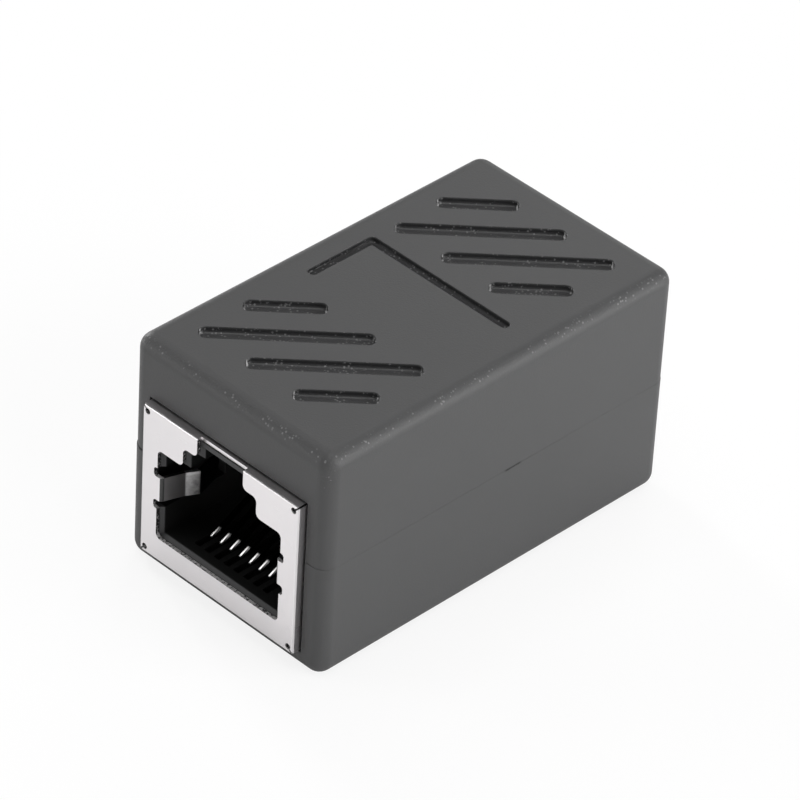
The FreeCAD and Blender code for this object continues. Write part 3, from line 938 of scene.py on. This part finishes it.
def groove_cutter(outline: Callable[[float], list[Vector]], depth: float, floor_round: float,
                  clear: float) -> bmesh.types.BMesh:
    """Closed form of a groove with a rounded floor, to be cut from the face at its outline.

    Args:
        outline: Points of the groove's outline on the face, for an inset.
        depth: Depth of the floor below the face.
        floor_round: Radius between wall and floor.
        clear: Height that the form stands above the face.

    Returns:
        The form.
    """
    levels = [(0.0, clear)]
    for i in range(FLOOR_STEPS + 1):
        angle = math.pi / 2 * i / FLOOR_STEPS
        levels.append((floor_round * (1 - math.cos(angle)),
                       floor_round - depth - floor_round * math.sin(angle)))
    form = bmesh.new()
    rings = [[form.verts.new(point + Vector((0, 0, height))) for point in outline(inset)]
             for inset, height in levels]
    count = len(rings[0])
    for upper, lower in zip(rings, rings[1:]):
        for i in range(count):
            j = (i + 1) % count
            form.faces.new((upper[j], upper[i], lower[i], lower[j]))
    form.faces.new(rings[0])
    form.faces.new(list(reversed(rings[-1])))
    bmesh.ops.recalc_face_normals(form, faces=form.faces)
    return form


def combine(item: bpy.types.Object, form: bmesh.types.BMesh,
            operation: str = "DIFFERENCE") -> None:
    """Cut a form out of an object's mesh, or add it.

    Args:
        item: The object.
        form: The form, which is freed.
        operation: Name of the Boolean: DIFFERENCE to cut, UNION to add.
    """
    tool = mesh_object("tool", form)
    mesh = tool.data
    modifier = item.modifiers.new("combine", "BOOLEAN")
    modifier.operation = operation
    modifier.solver = "EXACT"
    modifier.object = tool
    settle(item)
    bpy.data.objects.remove(tool)
    bpy.data.meshes.remove(mesh)


def settle(item: bpy.types.Object) -> None:
    """Replace an object's mesh by what its modifiers make of it.

    Args:
        item: The object, whose modifiers are removed.
    """
    graph = bpy.context.evaluated_depsgraph_get()
    result = bpy.data.meshes.new_from_object(item.evaluated_get(graph), depsgraph=graph)
    item.modifiers.clear()
    old = item.data
    item.data = result
    bpy.data.meshes.remove(old)


def soften(item: bpy.types.Object, width: float, sharp_level: float,
           segments: int = 2, angle: float = math.radians(35), share: int = 60) -> None:
    """Round every edge that turns more than an angle, and shade the whole smoothly.

    Args:
        item: Object to finish.
        width: Width of the rounding.
        sharp_level: Height at which edges stay sharp.
        segments: Faces across the rounding.
        angle: Smallest turn that counts as an edge.
        share: Weight that large faces have in the shading, as a percentage.
    """
    form = bmesh.new()
    form.from_mesh(item.data)
    weight = form.edges.layers.float.new("bevel_weight_edge")
    for edge in form.edges:
        level = all(abs(vert.co.z - sharp_level) < SAME_LEVEL for vert in edge.verts)
        turned = edge.is_manifold and edge.calc_face_angle() > angle
        edge[weight] = 1.0 if turned and not level else 0.0
        edge.smooth = not level
    form.to_mesh(item.data)
    form.free()
    bevel = item.modifiers.new("softened_edges", "BEVEL")
    bevel.limit_method = "WEIGHT"
    bevel.width = width
    bevel.segments = segments
    bevel.miter_outer = "MITER_ARC"
    settle(item)
    for polygon in item.data.polygons:
        polygon.use_smooth = True
    weighted = item.modifiers.new("even_shading", "WEIGHTED_NORMAL")
    weighted.keep_sharp = True
    weighted.weight = share


def place_piece(item: bpy.types.Object, material: bpy.types.Material, slot: str,
                *nodes: str) -> None:
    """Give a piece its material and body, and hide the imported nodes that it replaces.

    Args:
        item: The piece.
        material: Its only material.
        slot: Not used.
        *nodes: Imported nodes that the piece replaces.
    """
    item.data.materials.clear()
    item.data.materials.append(material)
    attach(item, BODY)
    if nodes:
        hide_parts(*nodes)
    LOG.info("%s: %d faces", item.name, len(item.data.polygons))


def dress_node(node: str, material: bpy.types.Material) -> None:
    """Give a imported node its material.

    Args:
        node: Name of the node.
        material: Material for each of its slots.
    """
    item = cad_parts[node]
    for place in item.material_slots:
        place.material = material
    LOG.info("%s: dressed with %s", node, material.name)


# -------------------------------------------------------------------- pieces


@dataclass
class CaseHalves:
    """The two moulded halves of the case, with their grooves and inner form.

    The two blocks of grooves stand either side of the corner line. Each groove runs to the
    reach across the case or to the end of its block, whichever is nearer. The steps are how
    far the upper half stands inside the lower one, on each side of the seam.
    """

    edge_radius: float = 1.22 * MM
    rim_steps: int = 10
    soft_edge: float = 0.07 * MM
    groove_width: float = 1.4 * MM
    groove_depth: float = 0.5 * MM
    groove_round: float = 0.24 * MM
    groove_end: float = 0.55 * MM
    groove_spacing: float = 4.87 * MM
    groove_reach: float = 7.17 * MM
    groove_block: float = 8.92 * MM
    block_distance: float = 19.5 * MM
    pattern_shift: float = 0.2 * MM
    pattern_side: float = -0.15 * MM
    groove_count: int = 4
    line_width: float = 0.85 * MM
    line_depth: float = 0.45 * MM
    line_round: float = 0.2 * MM
    line_reach: float = 7.0 * MM
    line_rise: float = 6.35 * MM
    case_gap: float = 0.1 * MM
    roof_skin: float = 1.9 * MM
    rib_thickness: float = 1.4 * MM
    spine_thickness: float = 4.4 * MM
    core_side: float = 0.9 * MM
    end_wall: float = 2.2 * MM
    tongue_inset: float = 0.65 * MM
    tongue_width: float = 0.7 * MM
    tongue_length: float = 28.0 * MM
    tongue_root: float = 0.3 * MM
    left_step: float = 0.055 * MM
    right_step: float = 0.009 * MM
    end_step: float = 0.03 * MM
    spare: float = 1.0 * MM
    seam: float = field(init=False)
    upper: tuple = field(init=False)
    lower: tuple = field(init=False)
    shield: tuple = field(init=False)
    board: tuple = field(init=False)

    def __post_init__(self) -> None:
        """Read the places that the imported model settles."""
        self.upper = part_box("upper_shell")
        self.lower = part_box("lower_shell")
        self.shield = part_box("front_shield")
        self.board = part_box("circuit_board")
        self.seam = self.lower[1].z

    def rounded_half(self, name: str, low: Vector, high: Vector) -> bpy.types.Object:
        """Box rounded on every edge that doesn't touch the seam.

        Args:
            name: Name of the object.
            low: Lowest corner.
            high: Highest corner.

        Returns:
            The object.
        """
        form = block(low, high)
        edges = [edge for edge in form.edges
                 if not all(abs(v.co.z - self.seam) < SAME_LEVEL for v in edge.verts)]
        bmesh.ops.bevel(form, geom=edges, offset=self.edge_radius, segments=self.rim_steps,
                        profile=0.5, affect="EDGES", clamp_overlap=False)
        return mesh_object(name, form)

    def cut_interior(self, item: bpy.types.Object) -> None:
        """Cut the jacks' tunnel and the circuit board's slot.

        Args:
            item: Half of the case.
        """
        gap = Vector((self.case_gap,) * 3)
        low, high = self.shield
        reach = self.lower[1].y + self.spare
        combine(item, block(Vector((low.x - gap.x, -reach, low.z - gap.z)),
                             Vector((high.x + gap.x, reach, high.z + gap.z))))
        combine(item, block(self.board[0] - gap, self.board[1] + gap))

    def roof_cores(self) -> bmesh.types.BMesh:
        """Recesses above the tunnel, with ribs between them.

        Returns:
            The forms to cut.
        """
        top = self.upper[1].z - self.roof_skin
        bottom = self.shield[1].z
        half_width = self.shield[1].x + self.case_gap - self.core_side
        inner = self.spine_thickness / 2
        outer = self.lower[1].y - self.end_wall
        middle, half_rib = (inner + outer) / 2, self.rib_thickness / 2
        forms = []
        for sign in (-1, 1):
            for near, far in ((inner, middle - half_rib), (middle + half_rib, outer)):
                ends = sorted((sign * near, sign * far))
                forms.append(block(Vector((-half_width, ends[0], bottom)),
                                   Vector((half_width, ends[1], top))))
        return joined(forms)

    def top_cutters(self) -> bmesh.types.BMesh:
        """Slanting grooves of both blocks and the line that turns a corner between them.

        Returns:
            The forms to cut.
        """
        top = self.upper[1].z
        forms = []
        for side in (-1, 1):
            centre = self.pattern_shift + side * self.block_distance / 2
            for index in range(self.groove_count):
                slant = (index - (self.groove_count - 1) / 2) * self.groove_spacing
                ends = (max(-self.groove_reach, slant - self.groove_block / 2),
                        min(self.groove_reach, slant + self.groove_block / 2))
                start, end = (Vector((x + self.pattern_side, centre + x - slant, top))
                              for x in ends)
                outline = partial(slot_outline, start, end, self.groove_width / 2,
                                  self.groove_end)
                forms.append(groove_cutter(outline, self.groove_depth, self.groove_round,
                                           self.spare))
        half, head = self.line_width / 2, self.line_rise / 2
        line = [Vector((-self.line_reach, half - head, top)),
                Vector((-self.line_reach, head, top)),
                Vector((self.line_reach - half, head, top))]
        forms.append(groove_cutter(partial(angle_outline, line, half), self.line_depth,
                                   self.line_round, self.spare))
        return joined(forms)

    def tongue_strips(self, grow: float, low: float, high: float) -> bmesh.types.BMesh:
        """Strip in each side wall at the seam.

        Args:
            grow: How much wider and longer than the tongue the strip is, on each side.
            low: Lowest level of the strips.
            high: Highest level of the strips.

        Returns:
            The two strips.
        """
        inner = self.shield[1].x + self.case_gap + self.tongue_inset - grow
        outer = inner + self.tongue_width + 2 * grow
        reach = self.tongue_length / 2 + grow
        return joined([block(Vector((min(s * inner, s * outer), -reach, low)),
                             Vector((max(s * inner, s * outer), reach, high)))
                       for s in (-1, 1)])

    def build_upper(self) -> bpy.types.Object:
        """Upper half of the case.

        Returns:
            The object.
        """
        low = Vector((self.lower[0].x + self.left_step, self.lower[0].y + self.end_step,
                      self.seam))
        high = Vector((self.lower[1].x - self.right_step, self.lower[1].y - self.end_step,
                       self.upper[1].z))
        item = self.rounded_half("upper_case", low, high)
        self.cut_interior(item)
        combine(item, self.roof_cores())
        combine(item, self.top_cutters())
        combine(item, self.tongue_strips(0.0, self.upper[0].z, self.seam + self.tongue_root),
                "UNION")
        soften(item, self.soft_edge, self.seam)
        return item

    def build_lower(self) -> bpy.types.Object:
        """Lower half of the case.

        Returns:
            The object.
        """
        high = Vector((self.lower[1].x, self.lower[1].y, self.seam))
        item = self.rounded_half("lower_case", self.lower[0], high)
        self.cut_interior(item)
        depth = self.seam - self.upper[0].z + self.case_gap
        combine(item, self.tongue_strips(self.case_gap, self.seam - depth,
                                          self.seam + self.spare))
        soften(item, self.soft_edge, self.seam)
        return item

    def build(self, finishes: Finishes) -> None:
        """Make and dress both halves with the materials of their slots."""
        place_piece(self.build_upper(), finishes.case, "case", "upper_shell")
        place_piece(self.build_lower(), finishes.case, "case", "lower_shell")


@dataclass
class Jack:
    """One shielded jack: shield, body, contact carrier and contacts."""

    side: Side

    def build(self, finishes: Finishes) -> None:
        """Dress the pieces of this jack.

        Args:
            finishes: Materials of the slots.
        """
        label = self.side.label
        dress_node(f"{label}_shield", finishes.shield)
        dress_node(f"{label}_jack_body", finishes.jack_plastic)
        dress_node(f"{label}_contact_block", finishes.jack_plastic)
        for index in range(1, CONTACT_COUNT + 1):
            dress_node(f"{label}_contact_{index}", finishes.contact)


# --------------------------------------------------------------------- stage


@dataclass(frozen=True)
class Lamp:
    """Square soft lamp that faces the coupler, in metres and watts."""

    name: str
    place: tuple
    size: float
    power: float

    def build(self) -> None:
        """Hang the lamp."""
        light = bpy.data.lights.new(self.name, "AREA")
        light.size = self.size
        light.energy = self.power
        lamp = new_object(self.name, light)
        lamp.location = self.place
        lamp.rotation_euler = (-Vector(self.place)).to_track_quat("-Z", "Y").to_euler()


@dataclass
class Studio:
    """Pale floor, white surroundings, soft lamps.

    The floor clears to white between two distances from the middle, in millimetres.
    """

    floor_size: float = 3.0
    floor_drop: float = 0.01 * MM
    floor_roughness: float = 0.9
    floor_colour: tuple = (0.97, 0.97, 0.97, 1.0)
    floor_glow: float = 0.85
    clear_from: float = 25.0
    clear_to: float = 60.0
    world_strength: float = 0.05
    lamps: tuple = (Lamp("back_left", (-0.15, 0.30, 0.20), 0.20, 0.29),
                    Lamp("back_right", (0.35, 0.22, 0.10), 0.25, 1.20),
                    Lamp("right", (0.45, 0.0, 0.20), 0.25, 0.72),
                    Lamp("front_left", (-0.45, -0.40, 0.12), 0.30, 1.30),
                    Lamp("left_low", (-0.45, 0.09, 0.15), 0.08, 1.0),
                    Lamp("front_right", (0.20, -0.45, 0.15), 0.25, 0.22),
                    Lamp("overhead", (0.0, 0.0, 0.60), 0.50, 1.88))

    def build_floor(self) -> None:
        """Floor that looks white and still shows the object's shadow."""
        form = bmesh.new()
        bmesh.ops.create_grid(form, x_segments=1, y_segments=1, size=self.floor_size / 2,
                              matrix=Matrix.Translation((0, 0, -self.floor_drop)))
        floor = mesh_object("floor", form)
        material = bpy.data.materials.new("floor_paper")
        material.use_nodes = True
        graph = Graph(material.node_tree)
        paper = graph.add("ShaderNodeBsdfPrincipled", {"Base Color": self.floor_colour,
                                                       "Roughness": self.floor_roughness,
                                                       "Specular IOR Level": 0.1})
        glow = graph.add("ShaderNodeEmission", {"Color": WHITE, "Strength": 1.0})
        seen = graph.add("ShaderNodeLightPath").outputs["Is Camera Ray"]
        away = graph.add("ShaderNodeVectorMath", {0: graph.millimetres()}, operation="LENGTH")
        clear = graph.ramp(away.outputs["Value"], self.clear_from, self.clear_to)
        share = graph.scaled(clear, 1.0 - self.floor_glow, self.floor_glow)
        mixed = graph.add("ShaderNodeMixShader", {0: graph.all_of(seen, share),
                                                  1: paper.outputs[0], 2: glow.outputs[0]})
        graph.add("ShaderNodeOutputMaterial", {0: mixed.outputs[0]})
        floor.data.materials.append(material)

    def build_world(self) -> None:
        """White surroundings: full strength to the camera, weaker as a light."""
        world = bpy.data.worlds.new("studio")
        bpy.context.scene.world = world
        world.use_nodes = True
        graph = Graph(world.node_tree)
        seen = graph.add("ShaderNodeLightPath").outputs["Is Camera Ray"]
        strength = graph.scaled(seen, 1.0 - self.world_strength, self.world_strength)
        sky = graph.add("ShaderNodeBackground", {"Color": WHITE, "Strength": strength})
        graph.add("ShaderNodeOutputWorld", {0: sky.outputs[0]})

    def build(self) -> None:
        """Make floor, surroundings and lamps."""
        self.build_floor()
        self.build_world()
        for lamp in self.lamps:
            lamp.build()
        bpy.context.scene.view_settings.view_transform = "Standard"


@dataclass(frozen=True)
class ViewCamera:
    """Long lens that looks down on the front right corner."""

    azimuth: float = math.radians(43.573)
    elevation: float = math.radians(37.234)
    roll: float = math.radians(3.375)
    distance: float = 412.2 * MM
    move_right: float = -0.125 * MM
    move_up: float = 0.681 * MM
    focal_length: float = 254.6
    nearest: float = 10 * MM
    farthest: float = 20.0

    def build(self) -> None:
        """Make the camera and give it to the scene."""
        turn = Vector((math.cos(self.azimuth), math.sin(self.azimuth), 0))
        back = Vector((math.sin(self.azimuth) * math.cos(self.elevation),
                       -math.cos(self.azimuth) * math.cos(self.elevation),
                       math.sin(self.elevation)))
        rise = back.cross(turn)
        right = math.cos(self.roll) * turn + math.sin(self.roll) * rise
        top = math.cos(self.roll) * rise - math.sin(self.roll) * turn
        centre = Vector((0, 0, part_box("upper_shell")[1].z / 2))
        place = centre + back * self.distance + right * self.move_right + top * self.move_up
        lens = bpy.data.cameras.new("view")
        lens.lens = self.focal_length
        lens.clip_start = self.nearest
        lens.clip_end = self.farthest
        camera = new_object("view", lens)
        facing = Matrix((right, top, back)).transposed().to_4x4()
        camera.matrix_world = Matrix.Translation(place) @ facing
        bpy.context.scene.camera = camera


def main() -> None:
    """Dress every piece, then set the stage and the camera."""
    logging.basicConfig(level=logging.INFO, format="%(name)s: %(message)s")
    finishes = Finishes.build()
    CaseHalves().build(finishes)
    for side in Side:
        Jack(side).build(finishes)
    dress_node("circuit_board", finishes.board)
    Studio().build()
    ViewCamera().build()


if __name__ == "__main__":
    main()
